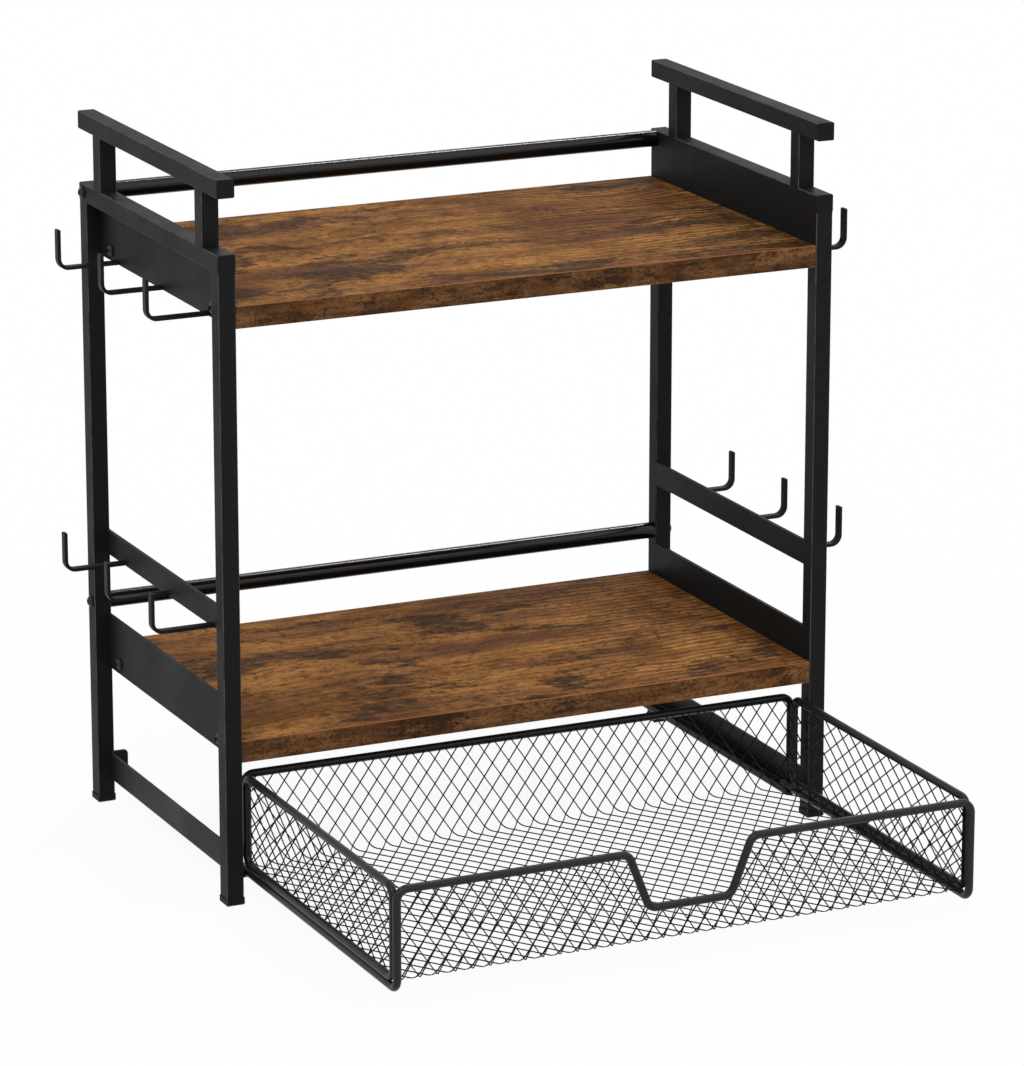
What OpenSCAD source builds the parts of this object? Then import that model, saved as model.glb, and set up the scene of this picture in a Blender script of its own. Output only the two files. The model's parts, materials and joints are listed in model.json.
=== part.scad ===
// Countertop coffee station organizer: two welded side frames of square tube carry two boards,
// twelve cup hooks and a pair of rails, on which a wire and mesh drawer slides.
// X runs across the front, Y from the front to the back and Z up, in millimetres.
// The origin is on the counter, midway between the four feet. The drawer is drawn pulled out.

/* [Overall size] */
// Width over the legs
frame_w = 362; // [300:2:460]
// Depth over the legs
frame_d = 204; // [160:2:260]
// Height from the counter to the top of the handles
frame_h = 398; // [350:2:480]

/* [Square tube] */
// Outside width of the square tube
tube = 10; // [8:0.5:13]
// Wall of the square tube
tube_wall = 1; // [0.8:0.1:1.4]
// Outside corner radius of the square tube
tube_corner = 0.8; // [0.3:0.1:1.2]
// Free height under the handle bars
handle_gap = 30; // [24:1:45]
// Distance between the posts of a handle, centre to centre
post_spacing = 150; // [90:2:170]
// Thickness of an end cap outside the tube
cap_t = 1; // [0.6:0.1:1.4]
// How far an end cap reaches into the tube
cap_plug = 1.5; // [1:0.1:1.8]

/* [Feet] */
// Height of a foot cap below the leg
foot_h = 4; // [3:0.5:8]
// How far a foot cap stands out past the tube
foot_proud = 0.4; // [0.2:0.1:1]
// How far a foot cap reaches up into the tube
foot_plug = 12; // [6:1:20]
// Chamfer round the bottom of a foot cap
foot_chamfer = 0.8; // [0.4:0.1:1.5]

/* [Side plates] */
// Thickness of the side plates and hook bars
plate_t = 2; // [1.5:0.1:3]
// Height of the upper side plates
upper_plate_h = 30; // [24:1:40]
// Height of the lower side plates
lower_plate_h = 31; // [24:1:40]
// Height of the bars that carry the lower hooks
hook_bar_h = 14; // [10:1:20]
// Height of the underside of those bars above the counter
hook_bar_z = 146.5; // [130:0.5:180]

/* [Shelves] */
// Thickness of the boards
board_t = 12; // [10:0.5:16]
// Height of the underside of the lower board above the counter
lower_board_z = 80; // [70:1:96]
// Thickness of the strip along a board's front and back edges
edge_band_t = 0.8; // [0.4:0.1:1.5]
// Distance from a board's front or back edge to its bolts
shelf_bolt_inset = 27; // [16:1:40]

/* [Rear rods] */
// Diameter of the rods across the back
rod_d = 9.5; // [7:0.5:10]
// Height of the lower rod's axis above the counter
low_rod_z = 118; // [112:1:140]

/* [Bolts] */
// Shank diameter of the bolts
bolt_d = 4; // [3:0.5:4]
// Head diameter of the bolts
bolt_head_d = 6.5; // [6:0.1:8]
// Head height of the bolts
bolt_head_h = 2.5; // [2:0.1:3.5]
// Height of the straight rim under a bolt head's dome
bolt_head_edge = 0.75; // [0.4:0.05:1.2]
// Width across the flats of the hexagon socket
socket_af = 2.5; // [2:0.1:3]
// Depth of the hexagon socket
socket_depth = 1.5; // [1:0.1:1.8]
// Length of thread that a bolt holds by
bolt_grip = 12; // [8:1:16]
// Outside diameter of the threaded inserts in the boards
insert_d = 6.4; // [6:0.1:7.5]

/* [Hooks] */
// Width of the hook strip
hook_w = 5; // [3:0.5:8]
// Thickness of the hook strip
hook_t = 2; // [1.5:0.1:3]
// How far a hook stands out from its plate
hook_reach = 35.4; // [25:0.2:50]
// Height of a hook from its underside to its tip
hook_h = 22.7; // [16:0.1:32]
// Inside radius of a hook's bend
hook_bend = 4.5; // [2:0.5:8]
// Number of hooks on each plate
hook_count = 3; // [1:1:3]
// Distance between neighbouring hooks
hook_pitch = 66; // [40:1:70]

/* [Drawer rails] */
// Height of the underside of a rail above the counter
rail_z = 11.5; // [9:0.5:16]
// Sheet thickness of the rails
rail_t = 1.5; // [1:0.1:1.8]
// Height of a rail's web
rail_h = 16.5; // [14:0.5:22]
// Height of the lip along a rail's inner edge
lip_h = 4.2; // [2.4:0.1:4.6]
// Inside radius of the bends in a rail
rail_bend = 0.5; // [0.3:0.1:0.8]
// Height of the stop tab's top above the rail's underside
stop_top = 18.5; // [16:0.5:22]
// Corner radius of the stop tab
stop_corner = 2.5; // [1:0.1:4]

/* [Drawer] */
// How much shorter the drawer's sides are than the frame is deep
drawer_short = 4; // [0:1:20]
// Gap between the drawer's side and the inner face of the legs
drawer_side_gap = 3; // [2:0.1:6]
// Gap between the drawer's rim and the board above
drawer_top_gap = 8.6; // [4:0.1:14]
// Diameter of the drawer's wire
wire_d = 4.4; // [3:0.1:6]
// Bend radius of the wire's centre line
wire_bend = 6; // [4.5:0.5:10]
// Length of runner that stays in the rail when the drawer is out
runner_tail = 10; // [6:0.5:10]
// Straight end of a runner above its bend, where it meets the rim wire
runner_end = 4; // [1:0.5:12]
// Width of the finger dip in the rim at its top
dip_top_w = 71.5; // [60:0.5:90]
// Width of the finger dip at its bottom
dip_bottom_w = 47; // [36:0.5:58]
// Depth of the finger dip
dip_depth = 31; // [16:0.5:34]
// Length of the back wire's turned-down ends
back_wire_drop = 36; // [20:1:40]

/* [Mesh] */
// Thickness of the mesh sheet
mesh_t = 0.8; // [0.6:0.1:1.6]
// Width of a mesh strand
strand = 0.8; // [0.6:0.1:1.6]
// Short way across a mesh opening, strand to strand
cell_w = 10; // [8:0.5:16]
// Long way across a mesh opening, strand to strand
cell_l = 14.6; // [12:0.2:24]
// How many times larger the openings of the floor are
floor_scale = 2; // [1.8:0.1:3]
// Inside radius where the floor turns up into the walls
mesh_bend = 6; // [3:0.5:10]
// Height of the mesh floor above the underside of the side wires
mesh_lift = 0.5; // [0.2:0.1:2]

/* [Clearances] */
// Clearance of a plug all round inside its tube
plug_fit = 0.1; // [0.05:0.05:0.3]
// Clearance at each end of a board, between the side plates
board_fit = 0.1; // [0:0.05:0.5]
// Clearance round a bolt in its threads
thread_fit = 0.1; // [0.05:0.05:0.3]
// Clearance round a bolt in a plate or tube wall
hole_fit = 0.2; // [0.1:0.05:0.5]
// Gap that a weld closes between two drawer pieces
weld_gap = 0.05; // [0.02:0.01:0.2]
// Running clearance of a runner above and beside the rail
run_fit = 0.3; // [0.2:0.05:0.5]
// Clearance between a moving piece and what it passes or stops at
stop_fit = 0.3; // [0.2:0.05:1]
// Depth of a threaded hole past the end of its bolt or insert
hole_extra = 1; // [0.5:0.5:3]

/* [Joining] */
// How far the straight runs of a bent rim reach into its bends
rim_lap = 0.3; // [0.2:0.1:1]
// How much fuller those bends are than the runs that reach into them
bend_swell = 0.02; // [0.01:0.01:0.05]

/* [Hidden] */

powder = [0.16, 0.16, 0.165];
satin = [0.20, 0.20, 0.205];
gloss = [0.07, 0.07, 0.075];
plastic = [0.11, 0.11, 0.11];
zinc = [0.62, 0.62, 0.60];
wood = [0.40, 0.25, 0.14];
band = [0.60, 0.33, 0.18];

// Side frames
leg_x = frame_w / 2 - tube / 2;
leg_y = frame_d / 2 - tube / 2;
inner_x = frame_w / 2 - tube;
bay_y = frame_d / 2 - tube;
bar_z = frame_h - tube;
rail_top_z = bar_z - handle_gap;
top_rail_z = rail_top_z - tube;
post_y = post_spacing / 2;
tube_bore = tube - 2 * tube_wall;

// Shelves and rods
upper_board_z = top_rail_z - upper_plate_h;
board_l = 2 * (inner_x - board_fit);
shelf_bolt_y = frame_d / 2 - shelf_bolt_inset;
high_rod_z = top_rail_z + tube / 2;
insert_bore = bolt_d + 2 * thread_fit;
bolt_hole = bolt_d + 2 * hole_fit;

// Drawer, from the rails up: runner, side loops, rims and mesh
runner_z = rail_z + rail_t + run_fit;
loop_z = runner_z + wire_d + weld_gap;
loop_top = lower_board_z - drawer_top_gap;
drawer_x = inner_x - drawer_side_gap;
drawer_d = frame_d - drawer_short;
drawer_back = -bay_y;
drawer_front = drawer_back - drawer_d;
loop_x = drawer_x - wire_d / 2;
rim_z = loop_top - wire_d / 2;
front_wire_y = drawer_front - wire_d / 2 - weld_gap;
back_wire_y = drawer_back + wire_d / 2 + weld_gap;
joint_z = runner_z + wire_d / 2 + wire_bend + runner_end;
lip_x = drawer_x - wire_d - run_fit - rail_t;
tab_x = drawer_x - wire_d - stop_fit;
tab_z = loop_z + stop_fit;
tab_top = rail_z + stop_top;

side_mesh_x = drawer_x - wire_d - weld_gap;
wall_x = side_mesh_x - mesh_t - weld_gap;
floor_z = loop_z + mesh_lift;
wall_z = floor_z + mesh_t + mesh_bend;
front_mesh_y = drawer_front + weld_gap;
back_mesh_y = drawer_back - weld_gap;

// Path and outline helpers
function unit(v) = v / norm(v);
function turn(a, b) = acos(max(-1, min(1, a * b)));
function left_of(v) = [-v[1], v[0]];
function rounded_square(w, r, n = 4) = [
    for (k = [0:3], i = [0:n])
        (w / 2 - r) * [k == 0 || k == 3 ? 1 : -1, k < 2 ? 1 : -1]
            + r * [cos(90 * (k + i / n)), sin(90 * (k + i / n))]
];
// The part of a convex outline on the side of a line where n * p is at most c
function clipped(outline, n, c) = [
    for (i = [0:len(outline) - 1])
        let (p = outline[i], q = outline[(i + 1) % len(outline)], dp = n * p - c, dq = n * q - c)
            each concat(dp <= 0 ? [p] : [], dp * dq < 0 ? [p + (q - p) * dp / (dp - dq)] : [])
];

// A section carried along a flat path with round corners. The section's x lies in the path's
// plane and its y stands square to it. A closed path has its corners at every point.
// The first child is the section of the straight runs and the last that of the bends. Runs reach
// into the bends by lap, which joins them cleanly at any angle where the bends are a hair fuller.
module swept(path, bend, closed = false, lap = 0) {
    n = len(path);
    function at(i) = path[(i + n) % n];
    function way(i) = unit(at(i + 1) - at(i));
    function bent(i) = closed || (i > 0 && i < n - 1);
    function cut(i) = bent(i % n) ? bend * tan(turn(way(i - 1), way(i)) / 2) : 0;
    for (i = [0:closed ? n - 1 : n - 2]) {
        a = at(i) + (cut(i) - min(lap, cut(i))) * way(i);
        b = at(i + 1) - (cut(i + 1) - min(lap, cut(i + 1))) * way(i);
        if (norm(b - a) > 0.001)
            translate([a[0], a[1], 0])
                rotate([0, 0, atan2(way(i)[1], way(i)[0])])
                    rotate([90, 0, 90])
                        linear_extrude(norm(b - a)) children(0);
    }
    for (i = [closed ? 0 : 1:closed ? n - 1 : n - 2]) {
        before = way(i - 1);
        after = way(i);
        side = before[0] * after[1] - before[1] * after[0] > 0 ? 1 : -1;
        from = at(i) - cut(i) * before;
        to = at(i) + cut(i) * after;
        middle = from + side * bend * left_of(before);
        out = (side > 0 ? from : to) - middle;
        translate([middle[0], middle[1], 0])
            rotate_extrude(angle = turn(before, after), start = atan2(out[1], out[0]), $fn = 48)
                translate([bend, 0]) children($children - 1);
    }
}

// Turns the path's plane upright, facing the front: x stays, y goes up
module facing_front() rotate([90, 0, 0]) children();
// Turns the path's plane upright, facing the side: x runs to the back, y goes up
module facing_side() rotate([90, 0, 90]) children();
// Draws the children for the left side
module left() mirror([1, 0, 0]) children();

// Square tube along Z
module square_tube(length) {
    linear_extrude(length)
        difference() {
            polygon(rounded_square(tube, tube_corner));
            square(tube_bore, center = true);
        }
}

// Square tube along Y, centred, with its bottom at z = 0
module tube_along_depth(length)
    translate([0, length / 2, tube / 2]) rotate([90, 0, 0]) square_tube(length);

// Hole for a bolt along X, through everything at that place
module cross_hole(y, z, d)
    translate([0, y, z]) rotate([0, 90, 0]) cylinder(h = frame_w, d = d, center = true, $fn = 32);

module front_leg()
    color(powder)
        translate([leg_x, -leg_y, foot_h]) square_tube(top_rail_z - foot_h);

module rear_leg()
    color(powder)
        difference() {
            translate([leg_x, leg_y, foot_h]) square_tube(top_rail_z - foot_h);
            cross_hole(leg_y, low_rod_z, bolt_hole);
        }

module top_rail()
    color(powder)
        difference() {
            translate([leg_x, 0, top_rail_z]) tube_along_depth(frame_d - 2 * cap_t);
            cross_hole(leg_y, high_rod_z, bolt_hole);
        }

module handle_post(side)
    color(powder)
        translate([leg_x, side * post_y, rail_top_z]) square_tube(handle_gap);

module handle_bar()
    color(powder)
        translate([leg_x, 0, bar_z]) tube_along_depth(frame_d - 2 * cap_t);

// One cap: a thin cover as large as the tube and a plug that fits inside it
module end_cap()
    rotate([-90, 0, 0]) {
        linear_extrude(cap_t) polygon(rounded_square(tube, tube_corner));
        translate([0, 0, -cap_plug])
            linear_extrude(cap_plug) square(tube_bore - 2 * plug_fit, center = true);
    }

module tube_end_caps()
    color(plastic)
        for (side = [0, 1], end = [0, 1], z = [top_rail_z, bar_z])
            mirror([side, 0, 0]) mirror([0, end, 0])
                translate([leg_x, frame_d / 2 - cap_t, z + tube / 2]) end_cap();

// Chamfered block that caps the leg, with a plug up into the tube
module foot_cap(side) {
    w = tube + 2 * foot_proud;
    profile = [
        [-w / 2, foot_chamfer], [-w / 2 + foot_chamfer, 0], [w / 2 - foot_chamfer, 0],
        [w / 2, foot_chamfer], [w / 2, foot_h], [-w / 2, foot_h]
    ];
    color(plastic)
        translate([leg_x, side * leg_y, 0]) {
            intersection() {
                translate([0, w / 2, 0]) facing_front() linear_extrude(w) polygon(profile);
                translate([-w / 2, 0, 0]) facing_side() linear_extrude(w) polygon(profile);
                linear_extrude(foot_h) polygon(rounded_square(w, tube_corner));
            }
            translate([0, 0, foot_h])
                linear_extrude(foot_plug) square(tube_bore - 2 * plug_fit, center = true);
        }
}

// Flat bar between the legs, level with their inner faces
module side_plate(z, h)
    translate([inner_x, -bay_y, z]) cube([plate_t, 2 * bay_y, h]);

module bolted_plate(z, h)
    color(powder)
        difference() {
            side_plate(z, h);
            for (y = [-shelf_bolt_y, shelf_bolt_y])
                cross_hole(y, z + board_t / 2, bolt_hole);
        }

module hook_bar()
    color(powder) side_plate(hook_bar_z, hook_bar_h);

// A row of strip hooks, welded to the outer face of a plate along its lower edge
module hooks(z) {
    tip_x = hook_reach - hook_t / 2;
    path = [[0, hook_t / 2], [tip_x, hook_t / 2], [tip_x, hook_h]];
    color(powder)
        for (k = [0:hook_count - 1])
            translate([inner_x + plate_t, (k - (hook_count - 1) / 2) * hook_pitch, z])
                facing_front()
                    swept(path, hook_bend + hook_t / 2) square([hook_t, hook_w], center = true);
}

// Bent rail: a web between the legs, a floor for the runner, a low lip and a stop tab at the back
module drawer_rail() {
    path = [
        [lip_x + rail_t / 2, lip_h], [lip_x + rail_t / 2, rail_t / 2],
        [inner_x + rail_t / 2, rail_t / 2], [inner_x + rail_t / 2, rail_h]
    ];
    color(powder) {
        translate([0, 0, rail_z])
            facing_front()
                swept(path, rail_bend + rail_t / 2) square([rail_t, 2 * bay_y], center = true);
        translate([tab_x, bay_y, tab_z])
            facing_front()
                linear_extrude(rail_t) stop_tab(inner_x + rail_t - tab_x, tab_top - tab_z);
    }
}

// Outline of the stop tab, w by h, with its free upper corner rounded
module stop_tab(w, h) {
    square([w, h - stop_corner]);
    translate([stop_corner, 0]) square([w - stop_corner, h]);
    translate([stop_corner, h - stop_corner]) circle(stop_corner, $fn = 32);
}

// Board with blind holes in both ends for the threaded inserts
module shelf(z)
    color(wood)
        difference() {
            translate([-board_l / 2, -frame_d / 2 + edge_band_t, z])
                cube([board_l, frame_d - 2 * edge_band_t, board_t]);
            for (side = [0, 1], y = [-shelf_bolt_y, shelf_bolt_y])
                mirror([side, 0, 0])
                    translate([board_l / 2 - bolt_grip - hole_extra, y, z + board_t / 2])
                        rotate([0, 90, 0])
                            cylinder(h = bolt_grip + 2 * hole_extra,
                                d = insert_d + 2 * weld_gap, $fn = 32);
        }

module edge_bands(z)
    color(band)
        for (end = [0, 1])
            mirror([0, end, 0])
                translate([-board_l / 2, frame_d / 2 - edge_band_t, z])
                    cube([board_l, edge_band_t, board_t]);

// Puts the children at each shelf bolt, turned so that their +Z points out of the side
module at_shelf_bolts()
    for (side = [0, 1], y = [-shelf_bolt_y, shelf_bolt_y], z = [lower_board_z, upper_board_z])
        mirror([side, 0, 0])
            translate([inner_x, y, z + board_t / 2]) rotate([0, 90, 0]) children();

module shelf_inserts()
    color(zinc)
        at_shelf_bolts()
            translate([0, 0, -board_fit - bolt_grip])
                difference() {
                    cylinder(h = bolt_grip, d = insert_d, $fn = 32);
                    translate([0, 0, -hole_extra])
                        cylinder(h = bolt_grip + 2 * hole_extra, d = insert_bore, $fn = 32);
                }

// Button head bolt along Z: the head stands on z = 0 and the shank goes down
module button_bolt(shank) {
    rise = bolt_head_h - bolt_head_edge;
    dome = (bolt_head_d * bolt_head_d / 4 + rise * rise) / (2 * rise);
    difference() {
        union() {
            intersection() {
                cylinder(h = bolt_head_h, d = bolt_head_d, $fn = 48);
                translate([0, 0, bolt_head_h - dome]) sphere(dome, $fn = 64);
            }
            translate([0, 0, -shank]) cylinder(h = shank, d = bolt_d, $fn = 32);
        }
        translate([0, 0, bolt_head_h - socket_depth])
            cylinder(h = bolt_head_h, d = socket_af / cos(30), $fn = 6);
    }
}

module shelf_bolts()
    color(gloss)
        at_shelf_bolts()
            translate([0, 0, plate_t]) button_bolt(plate_t + bolt_grip - board_fit);

// Rod across the back, threaded at both ends
module rear_rod(z)
    color(gloss)
        translate([0, leg_y, z])
            rotate([0, 90, 0])
                difference() {
                    cylinder(h = 2 * inner_x, d = rod_d, center = true, $fn = 48);
                    for (side = [0, 1])
                        mirror([0, 0, side])
                            translate([0, 0, inner_x - bolt_grip - hole_extra])
                                cylinder(h = bolt_grip + 2 * hole_extra, d = insert_bore, $fn = 32);
                }

module rod_bolts()
    color(gloss)
        for (side = [0, 1], z = [low_rod_z, high_rod_z])
            mirror([side, 0, 0])
                translate([frame_w / 2, leg_y, z])
                    rotate([0, 90, 0]) button_bolt(tube + bolt_grip);

// Closed wire loop that frames one side of the drawer
module side_loop() {
    half = wire_d / 2;
    path = [
        [drawer_front + half, loop_z + half], [drawer_back - half, loop_z + half],
        [drawer_back - half, rim_z], [drawer_front + half, rim_z]
    ];
    color(satin)
        translate([loop_x, 0, 0])
            facing_side()
                swept(path, wire_bend, closed = true) circle(d = wire_d, $fn = 32);
}

// Corner points of half the front rim, from the middle of the dip to the top corner
rim_half = [
    [dip_bottom_w / 2, rim_z - dip_depth], [dip_top_w / 2, rim_z], [loop_x, rim_z]
];
function mirrored(points) = [for (i = [len(points) - 1:-1:0]) [-points[i][0], points[i][1]]];

module front_rim_wire() {
    half = concat(rim_half, [[loop_x, joint_z + weld_gap]]);
    color(satin)
        translate([0, front_wire_y, 0])
            facing_front()
                swept(concat(mirrored(half), half), wire_bend, lap = rim_lap) {
                    circle(d = wire_d, $fn = 32);
                    circle(d = wire_d + 2 * bend_swell, $fn = 32);
                }
}

module back_rim_wire() {
    half = [[loop_x, rim_z], [loop_x, rim_z - back_wire_drop]];
    color(satin)
        translate([0, back_wire_y, 0])
            facing_front()
                swept(concat(mirrored(half), half), wire_bend) circle(d = wire_d, $fn = 32);
}

// Wire under a side loop that turns up in front and is welded to the end of the rim wire
module runner() {
    axis_z = runner_z + wire_d / 2;
    path = [
        [drawer_back + runner_tail, axis_z], [front_wire_y, axis_z], [front_wire_y, joint_z]
    ];
    color(satin)
        translate([loop_x, 0, 0]) facing_side() swept(path, wire_bend) circle(d = wire_d, $fn = 32);
}

// Diamond openings of a stretched mesh sheet w by h, cut back to its edge strands.
// Whole openings fit across both ways, so the pitch is the nearest that divides the sheet.
function openings(w, h, across, up) =
    let (
        columns = round(w / across), rows = round(2 * h / up),
        a = w / columns / 2, b = h / rows,
        k = 1 - strand / 2 * sqrt(1 / (a * a) + 1 / (b * b))
    ) [
        for (i = [0:2 * columns], j = [0:rows])
            if ((i + j) % 2 == 1)
                let (c = [i * a - w / 2, j * b])
                    clipped(clipped(clipped(clipped(
                        [for (s = [[1, 0], [0, 1], [-1, 0], [0, -1]]) c + k * [s[0] * a, s[1] * b]],
                        [1, 0], w / 2 - strand), [-1, 0], w / 2 - strand),
                        [0, 1], h - strand), [0, -1], -strand)
    ];

// Flat mesh sheet in the x-y plane, centred on x
module mesh_sheet(w, h, across, up)
    linear_extrude(mesh_t)
        difference() {
            translate([-w / 2, 0]) square([w, h]);
            for (opening = openings(w, h, across, up)) polygon(opening);
        }

// Strands that curve from the foot of a wall down to the floor, at every whole opening.
// The wall is the plane y = 0 and the floor lies towards +Y.
module curved_strands(w) {
    columns = round(w / cell_w);
    for (i = [0:columns])
        translate([
            max(-w / 2, min(w / 2 - strand, (i / columns - 0.5) * w - strand / 2)),
            mesh_t + mesh_bend, wall_z
        ])
            rotate([90, 0, 90])
                rotate_extrude(angle = 90, start = 180, $fn = 48)
                    translate([mesh_bend, 0]) square([mesh_t, strand]);
}

module floor_mesh() {
    depth = back_mesh_y - front_mesh_y - 2 * (mesh_t + mesh_bend);
    color(satin)
        translate([0, front_mesh_y + mesh_t + mesh_bend, floor_z])
            mesh_sheet(2 * wall_x, depth, cell_w * floor_scale, cell_l * floor_scale);
}

module back_mesh()
    color(satin)
        translate([0, back_mesh_y, 0]) {
            translate([0, 0, wall_z])
                facing_front() mesh_sheet(2 * wall_x, rim_z - wall_z, cell_w, cell_l);
            mirror([0, 1, 0]) curved_strands(2 * wall_x);
        }

// Whether any corner of an opening comes within a strand of the dip
function near_dip(opening, dip) =
    let (
        side = unit(dip[0] - dip[1]), n = [side[1], -side[0]]
    )
        len([for (p = opening)
            if (n * ([-abs(p[0]), p[1]] - dip[1]) > -strand && p[1] > dip[1][1] - strand) 1]) > 0;

// The front wall follows the dip of the rim, with a strand along its edge
module front_mesh() {
    h = rim_z - wall_z;
    dip = [[-dip_top_w / 2, h], [-dip_bottom_w / 2, h - dip_depth],
        [dip_bottom_w / 2, h - dip_depth], [dip_top_w / 2, h]];
    color(satin)
        translate([0, front_mesh_y, 0]) {
            translate([0, mesh_t, wall_z])
                facing_front()
                    linear_extrude(mesh_t)
                        difference() {
                            translate([-wall_x, 0]) square([2 * wall_x, h]);
                            polygon(dip);
                            for (opening = openings(2 * wall_x, h, cell_w, cell_l))
                                if (!near_dip(opening, dip)) polygon(opening);
                        }
            curved_strands(2 * wall_x);
        }
}

module side_mesh() {
    length = back_mesh_y - front_mesh_y;
    color(satin)
        translate([side_mesh_x - mesh_t, (front_mesh_y + back_mesh_y) / 2, floor_z])
            facing_side() mesh_sheet(length, rim_z - floor_z, cell_l, cell_w);
}

left() front_leg();  // left_front_leg
front_leg();  // right_front_leg
left() rear_leg();  // left_rear_leg
rear_leg();  // right_rear_leg
left() top_rail();  // left_top_rail
top_rail();  // right_top_rail
left() handle_post(-1);  // left_front_handle_post
handle_post(-1);  // right_front_handle_post
left() handle_post(1);  // left_rear_handle_post
handle_post(1);  // right_rear_handle_post
left() handle_bar();  // left_handle_bar
handle_bar();  // right_handle_bar
tube_end_caps();
left() foot_cap(-1);  // left_front_foot_cap
foot_cap(-1);  // right_front_foot_cap
left() foot_cap(1);  // left_rear_foot_cap
foot_cap(1);  // right_rear_foot_cap
left() bolted_plate(upper_board_z, upper_plate_h);  // left_upper_plate
bolted_plate(upper_board_z, upper_plate_h);  // right_upper_plate
left() hook_bar();  // left_hook_bar
hook_bar();  // right_hook_bar
left() bolted_plate(lower_board_z, lower_plate_h);  // left_lower_plate
bolted_plate(lower_board_z, lower_plate_h);  // right_lower_plate
left() hooks(upper_board_z);  // left_upper_hooks
hooks(upper_board_z);  // right_upper_hooks
left() hooks(hook_bar_z);  // left_lower_hooks
hooks(hook_bar_z);  // right_lower_hooks
left() drawer_rail();  // left_drawer_rail
drawer_rail();  // right_drawer_rail
shelf(upper_board_z);  // upper_shelf
shelf(lower_board_z);  // lower_shelf
edge_bands(upper_board_z);  // upper_shelf_edge_bands
edge_bands(lower_board_z);  // lower_shelf_edge_bands
shelf_inserts();
shelf_bolts();
rear_rod(high_rod_z);  // upper_rod
rear_rod(low_rod_z);  // lower_rod
rod_bolts();
left() side_loop();  // left_side_loop
side_loop();  // right_side_loop
front_rim_wire();
back_rim_wire();
left() runner();  // left_runner
runner();  // right_runner
floor_mesh();
front_mesh();
back_mesh();
left() side_mesh();  // left_side_mesh
side_mesh();  // right_side_mesh
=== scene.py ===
# Coffee station organizer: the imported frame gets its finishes, rounded edges and a fine mesh drawer
import bpy, bmesh, json, math
from mathutils import Matrix, Vector


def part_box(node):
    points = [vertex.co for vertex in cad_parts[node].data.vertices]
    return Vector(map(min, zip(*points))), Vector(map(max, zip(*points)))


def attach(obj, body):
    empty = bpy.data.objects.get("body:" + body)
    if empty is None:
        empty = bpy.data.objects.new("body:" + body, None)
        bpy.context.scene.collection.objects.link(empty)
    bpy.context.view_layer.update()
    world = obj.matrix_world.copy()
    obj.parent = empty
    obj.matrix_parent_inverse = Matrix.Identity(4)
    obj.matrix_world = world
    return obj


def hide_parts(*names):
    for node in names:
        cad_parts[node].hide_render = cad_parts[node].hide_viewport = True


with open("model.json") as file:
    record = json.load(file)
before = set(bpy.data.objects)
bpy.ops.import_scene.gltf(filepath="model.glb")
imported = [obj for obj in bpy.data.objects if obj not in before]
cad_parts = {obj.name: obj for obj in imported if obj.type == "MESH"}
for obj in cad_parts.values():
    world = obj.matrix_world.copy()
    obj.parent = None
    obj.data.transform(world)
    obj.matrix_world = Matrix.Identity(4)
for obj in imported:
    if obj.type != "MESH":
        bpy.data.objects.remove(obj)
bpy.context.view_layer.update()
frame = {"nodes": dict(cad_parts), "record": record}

nodes = frame["nodes"]
bodyOf = {node: body for body, members in frame["record"]["behaviour"]["bodies"].items()
          for node in members}
mm = 0.001
scene = bpy.context.scene
print("frame loaded:", len(nodes), "nodes")


def addObject(name, data):
    thing = bpy.data.objects.new(name, data)
    scene.collection.objects.link(thing)
    return thing


# Camera, a little left of the front and above

cameraPlace = {
    "location": (-1.2005, -2.6592, 0.9838),
    "turn": 24.92,          # degrees towards the right
    "down": 15.747,         # degrees below level
    "lens": 183.2,          # millimetres, as is the sensor
    "sensor": 36,
    "clip": (0.05, 200),    # metres
}


def makeCamera(setup):
    lens = bpy.data.cameras.new("photoCamera")
    lens.lens = setup["lens"]
    lens.sensor_width = setup["sensor"]
    lens.sensor_fit = "AUTO"
    lens.clip_start, lens.clip_end = setup["clip"]
    camera = addObject("photoCamera", lens)
    camera.location = setup["location"]
    camera.rotation_euler = (math.radians(90 - setup["down"]), 0, math.radians(-setup["turn"]))
    scene.camera = camera


makeCamera(cameraPlace)
print("camera placed")


# Shader helpers

# A socket given as a value is linked, anything else is set
def feed(tree, node, inputs):
    for socket, value in inputs.items():
        if isinstance(value, bpy.types.NodeSocket):
            tree.links.new(value, node.inputs[socket])
        else:
            node.inputs[socket].default_value = value


def put(tree, kind, inputs=None, **settings):
    node = tree.nodes.new("ShaderNode" + kind)
    for name, value in settings.items():
        setattr(node, name, value)
    feed(tree, node, inputs or {})
    return node


def place(tree, group, inputs):
    return put(tree, "Group", inputs, node_tree=group).outputs


def mixColour(tree, factor, first, second, blend="MIX"):
    return put(tree, "Mix", {0: factor, 6: first, 7: second}, data_type="RGBA", blend_type=blend).outputs[2]


def tinted(tree, colour, tint):
    return mixColour(tree, 1.0, colour, tint, "MULTIPLY")


def calculate(tree, operation, first, second=0.0):
    return put(tree, "Math", {0: first, 1: second}, operation=operation).outputs[0]


def add(tree, first, second):
    return calculate(tree, "ADD", first, second)


def multiply(tree, first, second):
    return calculate(tree, "MULTIPLY", first, second)


# A value between low and high becomes 0 to 1, or between the two last numbers
def rampValue(tree, value, low, high, start=0.0, end=1.0):
    inputs = {"Value": value, "From Min": low, "From Max": high, "To Min": start, "To Max": end}
    return put(tree, "MapRange", inputs, interpolation_type="SMOOTHSTEP").outputs[0]


def noise(tree, vector, stretch, detail=2.0, rough=0.5, shift=(0, 0, 0)):
    mapped = put(tree, "Mapping", {"Vector": vector, "Scale": stretch, "Location": shift})
    return put(tree, "TexNoise", {"Vector": mapped.outputs[0], "Scale": 1.0, "Detail": detail,
                                  "Roughness": rough}).outputs["Fac"]


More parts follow.
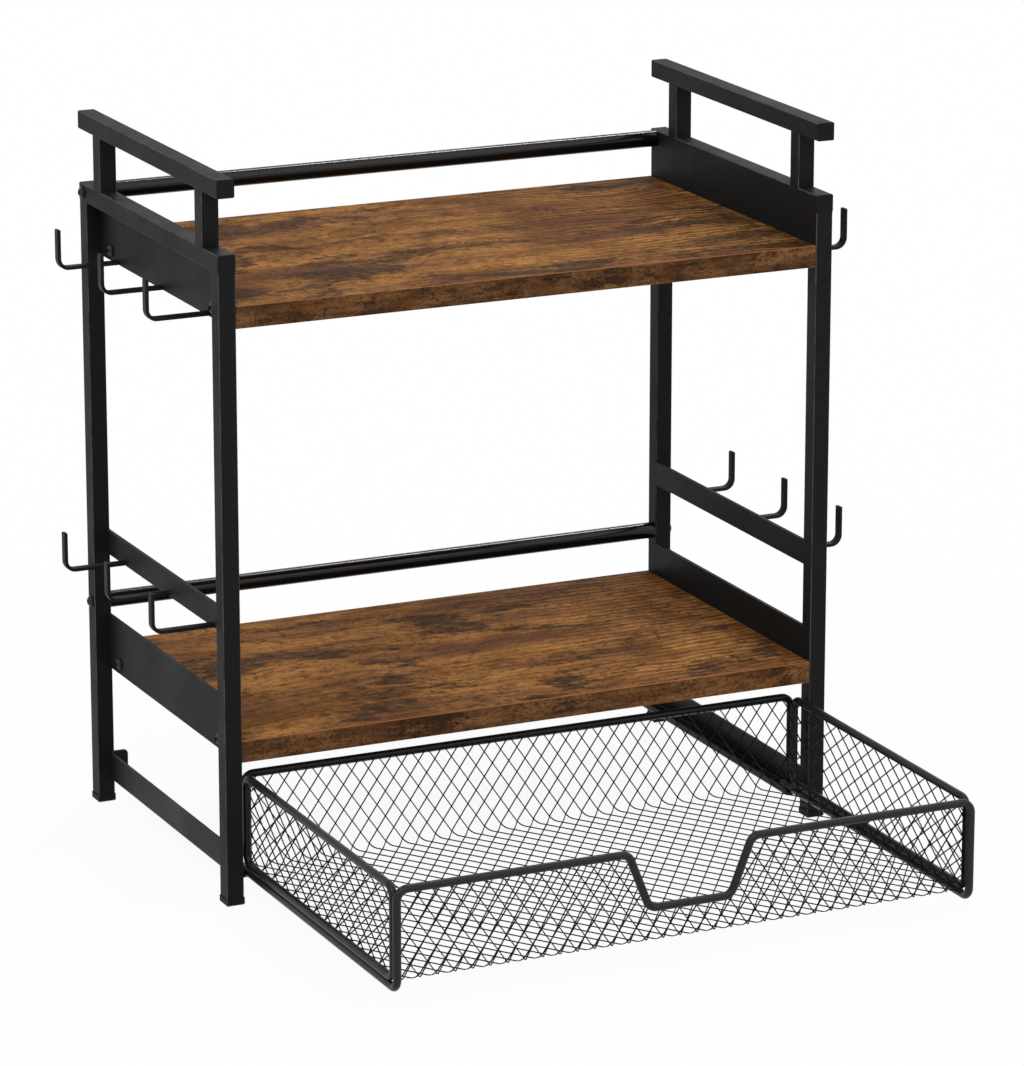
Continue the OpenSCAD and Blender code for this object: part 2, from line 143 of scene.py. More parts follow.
def newGroup(name, inputs, outputs):
    tree = bpy.data.node_groups.new(name, "ShaderNodeTree")
    for label, kind, value in inputs:
        socket = tree.interface.new_socket(name=label, in_out="INPUT", socket_type="NodeSocket" + kind)
        if value is not None:
            socket.default_value = value
    for label, kind in outputs:
        tree.interface.new_socket(name=label, in_out="OUTPUT", socket_type="NodeSocket" + kind)
    return tree, tree.nodes.new("NodeGroupInput").outputs, tree.nodes.new("NodeGroupOutput")


def newMaterial(name, **shaderValues):
    material = bpy.data.materials.new(name)
    material.use_nodes = True
    shader = material.node_tree.nodes["Principled BSDF"]
    for label, value in shaderValues.items():
        shader.inputs[label.replace("_", " ")].default_value = value
    return material, material.node_tree, shader


def objectPlace(tree):
    return put(tree, "TexCoord").outputs["Object"]


def grey(value):
    return (value, value, value * 1.01, 1.0)    # a trace cooler than neutral


def hexColour(text):
    parts = [int(text[i:i + 2], 16) / 255 for i in (0, 2, 4)]
    return tuple(p / 12.92 if p <= 0.04045 else ((p + 0.055) / 1.055) ** 2.4 for p in parts) + (1.0,)


# Shared effects

# Noises are given as their stretch per metre, detail, roughness and shift. Ramps are given as the
# value where an effect starts and where it is full, and some also as its least and most

powder = {
    "peel": {"stretch": (1, 1, 1), "detail": 2.0, "rough": 0.6},    # this and the grain times the size
    "grain": {"stretch": (2.6, 2.6, 2.6), "detail": 1.0, "rough": 0.5, "shift": (3.1, 0.7, 1.9)},
    "slow": {"stretch": (26, 26, 26), "detail": 3.0, "rough": 0.55},
    "grainRamp": (0.54, 0.72),
    "slowGrain": (0.3, 0.7, 0.5, 1.0),
    "slowGloss": (0.3, 0.7, -0.5, 0.5),
    "peelGloss": (0.3, 0.7, -0.3, 0.3),
}


# Cured powder or paint: a fine orange peel with pale grains in it and slow changes of gloss
def powderSpeckleGroup(look):
    tree, given, outlet = newGroup(
        "powderSpeckle",
        [("Vector", "Vector", None), ("Colour", "Color", grey(0.01)), ("Grain", "Color", grey(0.02)),
         ("Size", "Float", 1.0), ("Rough", "Float", 0.45), ("Rough Change", "Float", 0.08)],
        [("Color", "Color"), ("Roughness", "Float"), ("Height", "Float")])
    sized = {0: given["Vector"], "Scale": given["Size"]}
    scaled = put(tree, "VectorMath", sized, operation="SCALE").outputs[0]
    peel = noise(tree, scaled, **look["peel"])
    grain = noise(tree, scaled, **look["grain"])
    slow = noise(tree, given["Vector"], **look["slow"])
    fleck = multiply(tree, rampValue(tree, grain, *look["grainRamp"]),
                     rampValue(tree, slow, *look["slowGrain"]))
    change = add(tree, rampValue(tree, slow, *look["slowGloss"]), rampValue(tree, peel, *look["peelGloss"]))
    feed(tree, outlet, {
        "Color": mixColour(tree, fleck, given["Colour"], given["Grain"]),
        "Roughness": add(tree, given["Rough"], multiply(tree, change, given["Rough Change"])),
        "Height": peel})
    return tree


# Painted highlight along rounded edges, in place of their reflections
edgeHighlightLook = {
    "wear": {"stretch": (90, 90, 90), "detail": 4.0, "rough": 0.6},
    "highlightBreakupRamp": (0.3, 0.6, 0.35, 1.0),
    "edgeRamp": (0.985, 0.85),      # of the normal's longest part, which is 1 on a face along an axis
}


# Painted highlight on rounded edges: a lighter colour where the surface faces along no axis, broken up by
# noise
def paintedEdgeHighlightGroup(look):
    tree, given, outlet = newGroup(
        "paintedEdgeHighlight",
        [("Vector", "Vector", None), ("Normal", "Vector", None), ("Colour", "Color", grey(0.01)),
         ("Painted Highlight", "Color", grey(0.04)), ("Amount", "Float", 0.7)],
        [("Color", "Color")])
    facing = put(tree, "VectorMath", {0: given["Normal"]}, operation="ABSOLUTE").outputs[0]
    parts = put(tree, "SeparateXYZ", {0: facing}).outputs
    most = calculate(tree, "MAXIMUM", calculate(tree, "MAXIMUM", parts["X"], parts["Y"]), parts["Z"])
    patchy = rampValue(tree, noise(tree, given["Vector"], **look["wear"]), *look["highlightBreakupRamp"])
    onEdge = multiply(tree, rampValue(tree, most, *look["edgeRamp"]), patchy)
    amount = multiply(tree, onEdge, given["Amount"])
    feed(tree, outlet, {"Color": mixColour(tree, amount, given["Colour"], given["Painted Highlight"])})
    return tree


woodPrint = {
    "Light": "b47f44", "Middle": "865830", "Dark": "2b1b0f", "Cool": "3f3026",
    "drift": {"Scale": 11.0, "Detail": 2.0, "Roughness": 0.5},
    "push": (0.0, 0.03, 0.0),       # metres that the drift moves the warped patterns
    "warpedNoises": {
        "fibre": {"stretch": (17, 230, 200), "detail": 6.0, "rough": 0.72},
        "streak": {"stretch": (7, 42, 42), "detail": 8.0, "rough": 0.68, "shift": (1.3, 4.1, 0.2)},
        "patch": {"stretch": (12, 27, 27), "detail": 10.0, "rough": 0.67, "shift": (7.7, 2.3, 5.5)},
        "spot": {"stretch": (60, 75, 75), "detail": 6.0, "rough": 0.7, "shift": (2.9, 8.3, 1.1)},
        "dash": {"stretch": (210, 290, 290), "detail": 4.0, "rough": 0.7, "shift": (5.1, 0.3, 8.8)},
    },
    "straightNoises": {
        "glow": {"stretch": (12, 17, 17), "detail": 5.0, "rough": 0.6, "shift": (0.4, 9.2, 3.0)},
        "grit": {"stretch": (420, 330, 330), "detail": 4.0, "rough": 0.75, "shift": (3.3, 1.7, 0.6)},
    },
    "growthStretch": (0.2, 1, 1),
    "growth": {"Scale": 52.0, "Distortion": 1.4, "Detail": 3.0, "Detail Scale": 2.0,
               "Detail Roughness": 0.6},
    "shade": (0.52, 0.46, 0.42, 1), "thread": (0.5, 0.44, 0.4, 1), "pale": (1.6, 1.5, 1.35, 1),
    "streakRamp": (0.36, 0.64),
    "glowRamp": (0.55, 0.36, 0.0, 0.9),
    "spotRamp": (0.5, 0.36, 0.0, 0.7),
    "growthRamp": (0.4, 0.95), "growthDark": 0.7,
    "fibreRamp": (0.46, 0.64, 0.0, 0.75),
    "patchRamp": (0.515, 0.6), "patchBroken": (0.3, 0.56, 0.6, 1.0),
    "coolRamp": (0.5, 0.62, 0.0, 0.8),
    "crackRamp": (0.5, 0.61), "crackNearPatch": (0.38, 0.54, 0.45, 0.95), "crackDark": 0.75,
    "gritRamp": (0.5, 0.66, 0.0, 0.75),
    "rough": 0.74, "roughRamp": (0.3, 0.7, -0.5, 0.5), "roughChange": 0.14,
    "fibreHigh": 0.4, "crackDeep": 0.7, "patchDeep": 0.3,
}


# Printed rustic wood: mottled browns, dark weathered patches, growth lines along X and fine crackle
def boardGrainGroup(look):
    tree, given, outlet = newGroup(
        "boardGrain",
        [("Vector", "Vector", None)]
        + [(tone, "Color", hexColour(look[tone])) for tone in ("Light", "Middle", "Dark", "Cool")]
        + [("Patches", "Float", 0.9), ("Lines", "Float", 0.6)],
        [("Color", "Color"), ("Roughness", "Float"), ("Height", "Float")])
    vector = given["Vector"]
    drift = put(tree, "TexNoise", {"Vector": vector, **look["drift"]}).outputs["Color"]
    centred = put(tree, "VectorMath", {0: drift, 1: (0.5, 0.5, 0.5)}, operation="SUBTRACT").outputs[0]
    push = put(tree, "VectorMath", {0: centred, 1: look["push"]}, operation="MULTIPLY").outputs[0]
    warped = put(tree, "VectorMath", {0: vector, 1: push}, operation="ADD").outputs[0]
    fibre, streak, patch, spot, dash = (noise(tree, warped, **values)
                                        for values in look["warpedNoises"].values())
    glow, grit = (noise(tree, vector, **values) for values in look["straightNoises"].values())
    bent = put(tree, "Mapping", {"Vector": warped, "Scale": look["growthStretch"]}).outputs[0]
    growth = put(tree, "TexWave", {"Vector": bent, **look["growth"]},
                 wave_type="BANDS", bands_direction="Y").outputs["Fac"]

    # warm base, shaded in wide and in small areas
    colour = mixColour(tree, rampValue(tree, streak, *look["streakRamp"]), given["Middle"], given["Light"])
    shade = tinted(tree, colour, look["shade"])
    colour = mixColour(tree, rampValue(tree, glow, *look["glowRamp"]), colour, shade)
    colour = mixColour(tree, rampValue(tree, spot, *look["spotRamp"]), colour, shade)

    # growth lines and fibres
    line = multiply(tree, rampValue(tree, growth, *look["growthRamp"]), given["Lines"])
    colour = mixColour(tree, line, colour, mixColour(tree, look["growthDark"], colour, given["Dark"]))
    thread = tinted(tree, colour, look["thread"])
    colour = mixColour(tree, rampValue(tree, fibre, *look["fibreRamp"]), colour, thread)

    # weathered patches, crackle round them, pale grit on top
    weather = multiply(tree, rampValue(tree, patch, *look["patchRamp"]),
                       rampValue(tree, dash, *look["patchBroken"]))
    tone = mixColour(tree, rampValue(tree, spot, *look["coolRamp"]), given["Dark"], given["Cool"])
    colour = mixColour(tree, multiply(tree, weather, given["Patches"]), colour, tone)
    crack = multiply(tree, rampValue(tree, dash, *look["crackRamp"]),
                     rampValue(tree, patch, *look["crackNearPatch"]))
    colour = mixColour(tree, crack, colour, mixColour(tree, look["crackDark"], colour, given["Dark"]))
    pale = tinted(tree, colour, look["pale"])
    colour = mixColour(tree, rampValue(tree, grit, *look["gritRamp"]), colour, pale)

    change = multiply(tree, rampValue(tree, streak, *look["roughRamp"]), look["roughChange"])
    deep = add(tree, multiply(tree, crack, look["crackDeep"]), multiply(tree, weather, look["patchDeep"]))
    feed(tree, outlet, {
        "Color": colour,
        "Roughness": add(tree, look["rough"], change),
        "Height": calculate(tree, "SUBTRACT", multiply(tree, fibre, look["fibreHigh"]), deep)})
    return tree


powderSpeckle = powderSpeckleGroup(powder)
paintedEdgeHighlight = paintedEdgeHighlightGroup(edgeHighlightLook)
boardGrain = boardGrainGroup(woodPrint)
print("shared effects built")


# Materials

coatings = {    # edge is the colour of the painted highlight on rounded edges, or None
    "powderCoat": {"colour": 0.0088, "grain": 0.018, "size": 1000, "rough": 0.48, "change": 0.1,
                   "gloss": 0.06, "coat": 0.0, "peel": 0.18, "edge": 0.1},
    "hookCoat": {"colour": 0.0088, "grain": 0.018, "size": 1000, "rough": 0.45, "change": 0.1,
                 "gloss": 0.08, "coat": 0.0, "peel": 0.18, "edge": None},
    # painted light: the frame's powder coat made lighter on the drawer rails, whose inner faces lie in the
    # lower board's shade
    "railCoat": {"colour": 0.014, "grain": 0.024, "size": 1000, "rough": 0.46, "change": 0.1,
                 "gloss": 0.08, "coat": 0.0, "peel": 0.18, "edge": 0.12},
    "wireCoat": {"colour": 0.01, "grain": 0.028, "size": 1200, "rough": 0.34, "change": 0.08,
                 "gloss": 0.2, "coat": 0.0, "peel": 0.12, "edge": None},
    "meshCoat": {"colour": 0.005, "grain": 0.009, "size": 1600, "rough": 0.5, "change": 0.08,
                 "gloss": 0.06, "coat": 0.0, "peel": 0.1, "edge": None},
    "glossRod": {"colour": 0.004, "grain": 0.006, "size": 700, "rough": 0.17, "change": 0.03,
                 "gloss": 0.24, "coat": 0.0, "peel": 0.03, "edge": None},
    "capPlastic": {"colour": 0.0088, "grain": 0.016, "size": 1500, "rough": 0.52, "change": 0.08,
                   "gloss": 0.06, "coat": 0.0, "peel": 0.2, "edge": 0.09},
    "boltSteel": {"colour": 0.007, "grain": 0.018, "size": 900, "rough": 0.3, "change": 0.12,
                  "gloss": 0.3, "coat": 0.05, "peel": 0.08, "edge": None},
}
coatRough = 0.15            # of the clear coat, where there is one
peelDeep = 0.00005          # metres


def coatedMaterial(name, look):
    material, tree, shader = newMaterial(
        name, Specular_IOR_Level=look["gloss"], Coat_Weight=look["coat"], Coat_Roughness=coatRough)
    where = objectPlace(tree)
    speckle = place(tree, powderSpeckle, {
        "Vector": where, "Colour": grey(look["colour"]), "Grain": grey(look["grain"]),
        "Size": look["size"], "Rough": look["rough"], "Rough Change": look["change"]})
    colour = speckle["Color"]
    # painted highlight on rounded edges
    if look["edge"]:
        normal = put(tree, "NewGeometry").outputs["Normal"]
        colour = place(tree, paintedEdgeHighlight, {"Vector": where, "Normal": normal, "Colour": colour,
                                          "Painted Highlight": grey(look["edge"])})["Color"]
    bump = put(tree, "Bump", {"Strength": look["peel"], "Distance": peelDeep, "Height": speckle["Height"]})
    feed(tree, shader, {"Base Color": colour, "Roughness": speckle["Roughness"], "Normal": bump.outputs[0]})
    return material


materials = {name: coatedMaterial(name, look) for name, look in coatings.items()}

boards = {
    # dimmed darkens a board's colour: painted shade on the upper board, none on the lower
    "upper": {"shift": (0.13, 0.37, 0.0), "turn": 0.0, "patches": 0.82, "lines": 0.85, "dimmed": 0.87},
    "lower": {"shift": (1.42, 2.11, 0.0), "turn": 180.0, "patches": 0.88, "lines": 0.8, "dimmed": 1.0},
}
boardFinish = {
    "gloss": 0.08, "bumpDeep": 0.00012, "bump": 0.3,
    "straight": (-0.03, 0.14),      # X in metres between which the straight grain comes in, to the right
    "fewLines": 0.12,               # lines left of that
}
band = {
    "light": hexColour("7c5634"), "middle": hexColour("573b23"), "dark": hexColour("23160d"),
    "stretch": (2.2, 2.0, 2.6), "patches": 0.75, "bump": 0.2,
    "core": hexColour("b3703f"), "coreDark": hexColour("8c532e"),    # bare strip edge
    "coreNoise": {"stretch": (160, 900, 900), "detail": 4.0, "rough": 0.6},
    "edgeRamp": (0.25, 0.75),       # of the normal's upright part
}


def boardVector(tree, where, look, stretch=(1, 1, 1)):
    return put(tree, "Mapping", {"Vector": where, "Location": look["shift"], "Scale": stretch,
                                 "Rotation": (0, 0, math.radians(look["turn"]))}).outputs[0]


def grained(tree, shader, grain, colour, look, bumpStrength):
    bump = put(tree, "Bump", {"Strength": bumpStrength, "Distance": boardFinish["bumpDeep"],
                              "Height": grain["Height"]})
    # colour darkened by dimmed: painted shade
    feed(tree, shader, {"Base Color": tinted(tree, colour, grey(look["dimmed"])),
                        "Roughness": grain["Roughness"], "Normal": bump.outputs[0]})


def boardMaterial(name, look):
    material, tree, shader = newMaterial(name, Specular_IOR_Level=boardFinish["gloss"])
    where = objectPlace(tree)
    rightward = put(tree, "SeparateXYZ", {0: where}).outputs["X"]
    lines = rampValue(tree, rightward, *boardFinish["straight"], boardFinish["fewLines"], look["lines"])
    grain = place(tree, boardGrain, {"Vector": boardVector(tree, where, look),
                                     "Patches": look["patches"], "Lines": lines})
    grained(tree, shader, grain, grain["Color"], look, boardFinish["bump"])
    return material


# The band shows a darker print on its face and its own bare orange core along the edges
def bandMaterial(name, look):
    material, tree, shader = newMaterial(name, Specular_IOR_Level=boardFinish["gloss"])
    where = objectPlace(tree)
    grain = place(tree, boardGrain, {
        "Vector": boardVector(tree, where, look, band["stretch"]), "Light": band["light"],
        "Middle": band["middle"], "Dark": band["dark"], "Cool": band["dark"],
        "Patches": band["patches"], "Lines": 0.0})
    facing = put(tree, "SeparateXYZ", {0: put(tree, "NewGeometry").outputs["True Normal"]}).outputs["Z"]
    edge = rampValue(tree, calculate(tree, "ABSOLUTE", facing), *band["edgeRamp"])
    core = mixColour(tree, noise(tree, where, **band["coreNoise"]), band["core"], band["coreDark"])
    grained(tree, shader, grain, mixColour(tree, edge, grain["Color"], core), look, band["bump"])
    return material


insert = {
    "scratch": {"stretch": (2400, 500, 500), "detail": 3.0, "rough": 0.6},
    "dark": 0.42, "bright": 0.6, "roughRamp": (0.3, 0.7, 0.25, 0.45),
}


def insertMaterial(look):
    material, tree, shader = newMaterial("insertZinc", Metallic=1.0)
    scratch = noise(tree, objectPlace(tree), **look["scratch"])
    feed(tree, shader, {
        "Base Color": mixColour(tree, scratch, grey(look["dark"]), grey(look["bright"])),
        "Roughness": rampValue(tree, scratch, *look["roughRamp"])})
    return material


for level, look in boards.items():
    materials[level + "Board"] = boardMaterial(level + "Board", look)
    materials[level + "Band"] = bandMaterial(level + "Band", look)
materials["insertZinc"] = insertMaterial(insert)

slotMaterials = {
    "powder_coat": "powderCoat", "drawer_wire": "wireCoat", "drawer_mesh": "meshCoat",
    "gloss_rod": "glossRod", "plastic_cap": "capPlastic", "bolt": "boltSteel", "insert": "insertZinc",
}
nodeMaterials = {       # these go before the slot's own
    "upper_shelf": "upperBoard", "lower_shelf": "lowerBoard",
    "upper_shelf_edge_bands": "upperBand", "lower_shelf_edge_bands": "lowerBand",
    "left_drawer_rail": "railCoat", "right_drawer_rail": "railCoat",
    "left_upper_hooks": "hookCoat", "right_upper_hooks": "hookCoat",
    "left_lower_hooks": "hookCoat", "right_lower_hooks": "hookCoat",
}
slotOf = {}
for name, node in nodes.items():
    slotOf[name] = node.material_slots[0].material.name
    finish = nodeMaterials.get(name) or slotMaterials[slotOf[name]]
    for materialSlot in node.material_slots:
        materialSlot.material = materials[finish]
print("materials built:", len(materials))


# Pieces: a bmesh becomes an object with its place in its mesh

def meshFrom(name, shape, material):
    mesh = bpy.data.meshes.new(name)
    shape.to_mesh(mesh)
    shape.free()
    mesh.materials.append(material)
    return mesh


def addPiece(name, shape, finish, body, sharpAngle=40):
    mesh = meshFrom(name, shape, materials[finish])
    mesh.shade_smooth()
    mesh.set_sharp_from_angle(angle=math.radians(sharpAngle))
    piece = addObject(name, mesh)
    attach(piece, body)
    return piece


roundings = {   # millimetres off each sharp edge
    "upper_plate": 0.35, "lower_plate": 0.35, "hook_bar": 0.35,
    "upper_hooks": 0.4, "lower_hooks": 0.4, "drawer_rail": 0.3,
}
bandRounding = {"width": 0.3, "face": 0.2}      # only edges this near to the outer face, in millimetres
rounding = {
    "merge": 0.004,     # millimetres, joins the loose triangles
    "flat": 0.4,        # degrees, faces nearer to flat become one
    "sharp": 35,        # degrees, edges sharper than this are rounded
    "segments": 2,
}


# A CAD node's own shape with its sharp edges rounded, as shears, bends and a coat of powder leave them
def softened(name, nodeName, width, keep=None):
    shape = bmesh.new()
    shape.from_mesh(nodes[nodeName].data)
    bmesh.ops.remove_doubles(shape, verts=shape.verts, dist=rounding["merge"] * mm)
    bmesh.ops.dissolve_limit(shape, angle_limit=math.radians(rounding["flat"]),
                             verts=shape.verts, edges=shape.edges)
    sharp = [edge for edge in shape.edges
             if len(edge.link_faces) == 2 and edge.calc_face_angle() > math.radians(rounding["sharp"])
             and (keep is None or keep(edge))]
    bmesh.ops.bevel(shape, geom=sharp, offset=width * mm, offset_type="OFFSET", profile=0.5,
                    segments=rounding["segments"], affect="EDGES", material=-1, clamp_overlap=True)
    finish = nodes[nodeName].material_slots[0].material.name
    piece = addPiece(name, shape, finish, bodyOf[nodeName])
    weighted = piece.modifiers.new("flatFaces", "WEIGHTED_NORMAL")
    weighted.keep_sharp = True
    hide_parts(nodeName)


for side in ("left", "right"):
    for nodeName, width in roundings.items():
        title = "".join(word.title() for word in nodeName.split("_"))
        softened(side + title, side + "_" + nodeName, width)
for level in ("upper", "lower"):
    bandNode = level + "_shelf_edge_bands"
    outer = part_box(bandNode)[1].y - bandRounding["face"] * mm
    softened(level + "EdgeBands", bandNode, bandRounding["width"],
             keep=lambda edge: all(abs(vert.co.y) > outer for vert in edge.verts))


# Welds ground flush: they fill the grooves between the rounded tubes and what stands against them
weld = {            # millimetres
    "reach": 1.1,   # to each side of the joint
    "sunk": 0.04,   # under the tube's faces
    "deep": 0.7,
    "corner": 0.8,  # radius, as on the tubes
    "cornerSegments": 4,
}


def fillBox(shape, low, high, corner=0.0):
    cube = bmesh.ops.create_cube(shape, size=1.0)["verts"]
    bmesh.ops.scale(shape, verts=cube, vec=high - low)
    bmesh.ops.translate(shape, verts=cube, vec=(low + high) / 2)
    if corner:
        upright = dict.fromkeys(edge for vert in cube for edge in vert.link_edges
                                if abs(edge.verts[0].co.z - edge.verts[1].co.z) > (high.z - low.z) / 2)
        bmesh.ops.bevel(shape, geom=list(upright), offset=corner, segments=weld["cornerSegments"],
                        profile=0.5, affect="EDGES")


def groundWelds(side):
    sign = 1 if side == "right" else -1
    sunk, reach, deep, corner = (weld[key] * mm for key in ("sunk", "reach", "deep", "corner"))
    shape = bmesh.new()
    for upright in ("front_leg", "rear_leg", "front_handle_post", "rear_handle_post"):
        low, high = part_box(side + "_" + upright)
        for z in ([high.z] if "leg" in upright else [low.z, high.z]):
            fillBox(shape, Vector((low.x + sunk, low.y + sunk, z - reach)),
                    Vector((high.x - sunk, high.y - sunk, z + reach)), corner)

    face = min(abs(point.x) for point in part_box(side + "_front_leg"))
    near, far = sorted((sign * (face + sunk), sign * (face + deep)))
    for plate in ("upper_plate", "lower_plate", "hook_bar"):
        low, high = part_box(side + "_" + plate)
        for y in (low.y, high.y):
            fillBox(shape, Vector((near, y - reach, low.z + deep)), Vector((far, y + reach, high.z)))
        if plate == "upper_plate":
            fillBox(shape, Vector((near, low.y, high.z - reach)), Vector((far, high.y, high.z + reach)))
    addPiece(side + "GroundWelds", shape, "powderCoat", bodyOf[side + "_top_rail"])


for side in ("left", "right"):
    groundWelds(side)
print("edges rounded, welds filled")


# Drawer mesh: stretched metal sheet, one bent piece for the front, floor and back, and two flat sides

meshSheet = {               # millimetres
    "cellAcross": 10.0,     # short way of a diamond
    "cellAlong": 14.6,      # long way of a diamond
    "strand": 0.56,
    "thick": 0.5,
    "bendRadius": 4.0,      # of the sheet's middle where it turns up into the walls
    "nodeLift": 1.2,        # from the middle of a bend up to the row of nodes beside it
    "bendCuts": 6,          # steps that a bend turns in
    "round": 0.15,          # off the edges of each strand
    "roundAngle": 50,       # degrees, only edges sharper than this
}
dip = {                     # the finger dip in the front wall
    "topWidth": 71.5, "bottomWidth": 47.0, "depth": 31.0,
    "below": 15,            # net that the cuts run through under the dip
    "beside": 50,           # and to each side of the middle
}


# A flat net of diamonds centred on the origin, with whole cells across and along the fitted length
def diamondNet(width, length, sheet, fitted=None):
    fitted = fitted or length
    columns, rows = round(width / sheet["cellAcross"]), round(fitted / sheet["cellAlong"])
    across, along = width / columns, fitted / rows
    count = columns + math.ceil(length / along) + 3     # squares each way that cover the sheet once turned
    net = bmesh.new()
    bmesh.ops.create_grid(net, x_segments=count, y_segments=count, size=count / 2)
    bmesh.ops.rotate(net, verts=net.verts, matrix=Matrix.Rotation(math.radians(45), 3, "Z"))
    bmesh.ops.scale(net, verts=net.verts, vec=(across / math.sqrt(2), along / math.sqrt(2), 1))
    bmesh.ops.translate(net, verts=net.verts,
                        vec=(across / 2 * (count % 2 + columns % 2), along / 2 * (rows % 2), 0))
    for axis, reach in ((Vector((1, 0, 0)), width / 2), (Vector((0, 1, 0)), length / 2)):
        for sign in (1, -1):
            cutNet(net, net.faces[:], axis * sign * reach, axis * sign, clear_outer=True)
    return net


# Cuts some faces of a net along a line through a point, square to a direction
def cutNet(net, faces, point, direction, **options):
    verts = list(dict.fromkeys(vert for face in faces for vert in face.verts))
    edges = list(dict.fromkeys(edge for face in faces for edge in face.edges))
    bmesh.ops.bisect_plane(net, geom=verts + edges + faces, dist=1e-5, plane_co=point,
                           plane_no=direction, **options)


def openCells(net, sheet):
    before = set(net.faces)
    bmesh.ops.inset_individual(net, faces=net.faces[:], thickness=sheet["strand"] / 2, depth=0,
                               use_even_offset=True)
    bmesh.ops.delete(net, geom=[face for face in net.faces if face in before], context="FACES")


# Takes the finger dip out of the front wall, which is the low end of the net
def cutDip(net, rim, dip):
    lean = (dip["topWidth"] - dip["bottomWidth"]) / 2
    foot = rim + dip["depth"]

    def nearDip():
        return [face for face in net.faces
                if face.calc_center_median().y < foot + dip["below"]
                and abs(face.calc_center_median().x) < dip["beside"]]

    for sign in (1, -1):
        flank = Vector((sign * dip["depth"], lean, 0)).normalized()
        cutNet(net, nearDip(), Vector((sign * dip["bottomWidth"] / 2, foot, 0)), flank)
    cutNet(net, nearDip(), Vector((0, foot, 0)), Vector((0, 1, 0)))
    gone = []
    for face in net.faces:
        middle = face.calc_center_median()
        halfWidth = dip["bottomWidth"] / 2 + lean * (foot - middle.y) / dip["depth"]
        if middle.y < foot and abs(middle.x) < halfWidth:
            gone.append(face)
    bmesh.ops.delete(net, geom=gone, context="FACES")


# Gives a net in millimetres its thickness, rounds the strands and makes it a piece
def finishNet(net, name, sheet, replaced):
    for vert in net.verts:
        vert.co *= mm
    piece = addPiece(name, net, "meshCoat", "drawer", sharpAngle=180)
    wall = piece.modifiers.new("thickness", "SOLIDIFY")
    wall.thickness = sheet["thick"] * mm
    wall.offset = 0
    rounded = piece.modifiers.new("roundStrands", "BEVEL")
    rounded.width = sheet["round"] * mm
    rounded.segments = 1
    rounded.limit_method = "ANGLE"
    rounded.angle_limit = math.radians(sheet["roundAngle"])
    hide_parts(*replaced)
    print(name, len(piece.data.polygons), "faces before its thickness")


def bentMesh(sheet):
    frontLow, frontHigh = (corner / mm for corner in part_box("front_mesh"))
    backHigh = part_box("back_mesh")[1] / mm
    half = sheet["thick"] / 2
    radius = sheet["bendRadius"]
    yFront, yBack, zFloor = frontLow.y + half, backHigh.y - half, frontLow.z + half
    top = frontHigh.z
    wall = top - zFloor - radius
    arc = radius * math.pi / 2
    floor = yBack - yFront - 2 * radius
    length = 2 * wall + 2 * arc + floor
    rim = -length / 2
    fitted = floor + arc + 2 * sheet["nodeLift"]
    net = diamondNet(frontHigh.x - frontLow.x, length, sheet, fitted)
    openCells(net, sheet)
    cutDip(net, rim, dip)
    cuts = sheet["bendCuts"]
    for bendStart in (rim + wall, rim + wall + arc + floor):
        for step in range(cuts + 1):
            cutNet(net, net.faces[:], Vector((0, bendStart + step / cuts * arc, 0)), Vector((0, 1, 0)))
    for vert in net.verts:
        along = vert.co.y - rim
        if along < wall:                          # front wall, from the rim down
            y, z = yFront, top - along
        elif along < wall + arc:                  # front bend
            angle = (along - wall) / radius
            y, z = yFront + radius * (1 - math.cos(angle)), zFloor + radius * (1 - math.sin(angle))
        elif along < wall + arc + floor:
            y, z = yFront + radius + along - wall - arc, zFloor
        elif along < wall + 2 * arc + floor:      # back bend
            angle = (along - wall - arc - floor) / radius
            y, z = yBack - radius * (1 - math.sin(angle)), zFloor + radius * (1 - math.cos(angle))
        else:
            y, z = yBack, zFloor + radius + along - wall - 2 * arc - floor
        vert.co = Vector((vert.co.x, y, z))
    finishNet(net, "drawerMesh", sheet, ["floor_mesh", "front_mesh", "back_mesh"])


# A side's flat net lies against the wire loop, on the inner side of it
def sideMesh(side, sheet):
    low, high = (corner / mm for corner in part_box(side + "_side_mesh"))
    net = diamondNet(high.z - low.z, high.y - low.y, sheet)
    openCells(net, sheet)
    middle = (low + high) / 2
    across = high.x - sheet["thick"] / 2 if side == "right" else low.x + sheet["thick"] / 2
    for vert in net.verts:
        vert.co = Vector((across, middle.y + vert.co.y, middle.z + vert.co.x))
    finishNet(net, side + "SideMesh", sheet, [side + "_side_mesh"])


bentMesh(meshSheet)
for side in ("left", "right"):
    sideMesh(side, meshSheet)
print("drawer mesh made")


# Stage: a pale floor under a plain white studio

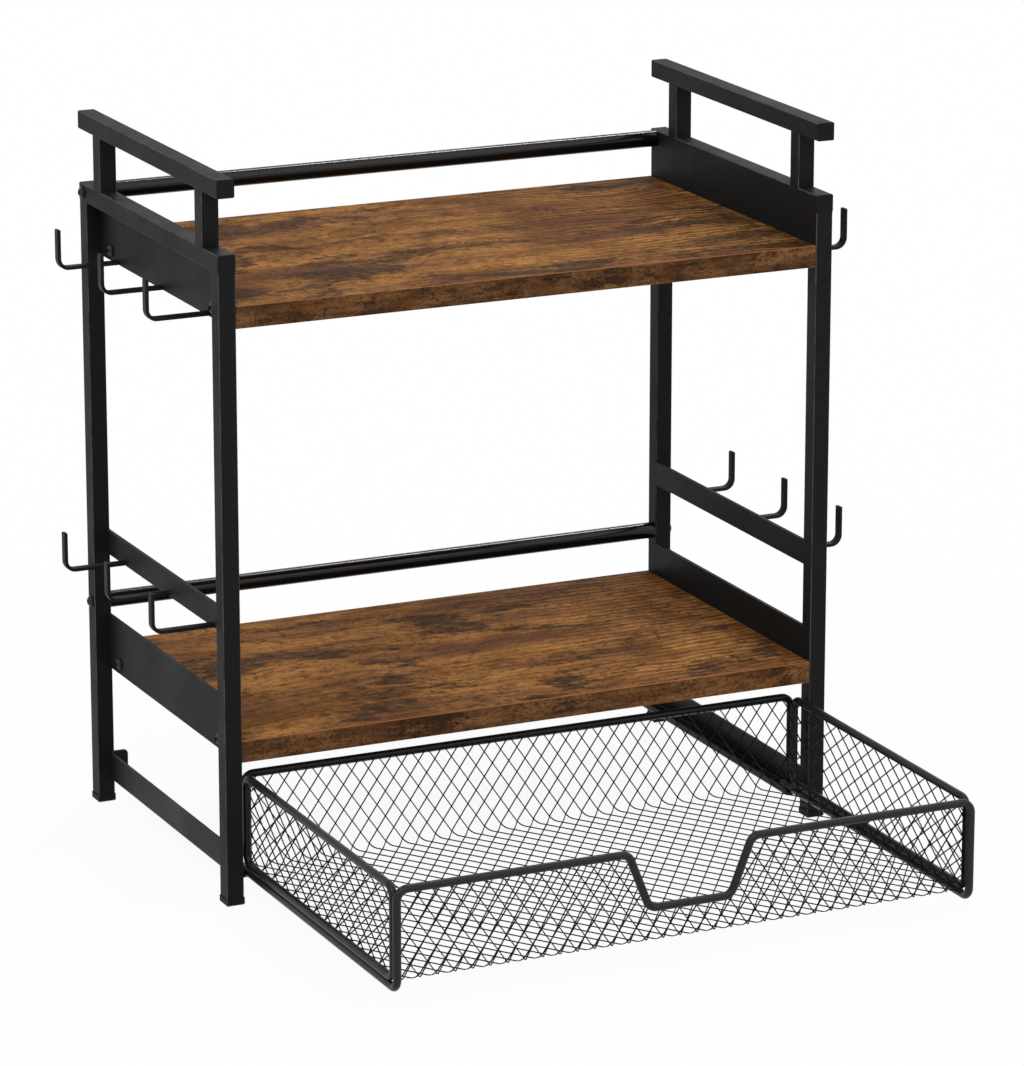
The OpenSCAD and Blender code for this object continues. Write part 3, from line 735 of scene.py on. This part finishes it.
studio = {
    "floorSize": 60, "floorColour": (0.9, 0.9, 0.9, 1), "floorRough": 0.9, "floorLift": 0.93,
    "white": 1.0, "ambient": 0.6,
    "suns": {       # degrees, and watts per square metre
        "key": {"tilt": 38, "turn": -35, "angle": 35, "strength": 1.1},
        "fill": {"tilt": 50, "turn": 40, "angle": 50, "strength": 0.5},
        "back": {"tilt": 36, "turn": 136, "angle": 6, "strength": 0.45},
    },
}
pureWhite = (1, 1, 1, 1)


# 1 for the camera, reflections and glass, 0 for light that falls on things
def seenDirectly(tree):
    path = put(tree, "LightPath").outputs
    seen = calculate(tree, "MAXIMUM", path["Is Camera Ray"], path["Is Glossy Ray"])
    return calculate(tree, "MAXIMUM", seen, path["Is Transmission Ray"])


def makeWorld(setup):
    world = bpy.data.worlds.new("studioWorld")
    scene.world = world
    world.use_nodes = True
    tree = world.node_tree
    strength = put(tree, "MapRange", {"Value": seenDirectly(tree), "To Min": setup["ambient"],
                                      "To Max": setup["white"]})
    feed(tree, tree.nodes["Background"], {"Color": pureWhite, "Strength": strength.outputs[0]})


def makeFloor(setup):
    material, tree, shader = newMaterial(
        "floorPaper", Base_Color=setup["floorColour"], Roughness=setup["floorRough"], Specular_IOR_Level=0.0)
    paper = put(tree, "Emission", {"Color": pureWhite, "Strength": setup["white"]})
    lift = multiply(tree, seenDirectly(tree), setup["floorLift"])
    blend = put(tree, "MixShader", {0: lift, 1: shader.outputs[0], 2: paper.outputs[0]})
    feed(tree, tree.nodes["Material Output"], {"Surface": blend.outputs[0]})
    shape = bmesh.new()
    bmesh.ops.create_grid(shape, x_segments=1, y_segments=1, size=setup["floorSize"] / 2)
    addObject("studioFloor", meshFrom("studioFloor", shape, material))


def makeSuns(setup):
    for name, lamp in setup["suns"].items():
        light = bpy.data.lights.new(name, "SUN")
        light.angle = math.radians(lamp["angle"])
        light.energy = lamp["strength"]
        sun = addObject(name, light)
        sun.rotation_euler = (math.radians(lamp["tilt"]), 0, math.radians(lamp["turn"]))


makeWorld(studio)
makeFloor(studio)
makeSuns(studio)
scene.view_settings.view_transform = "Standard"
print("studio made")
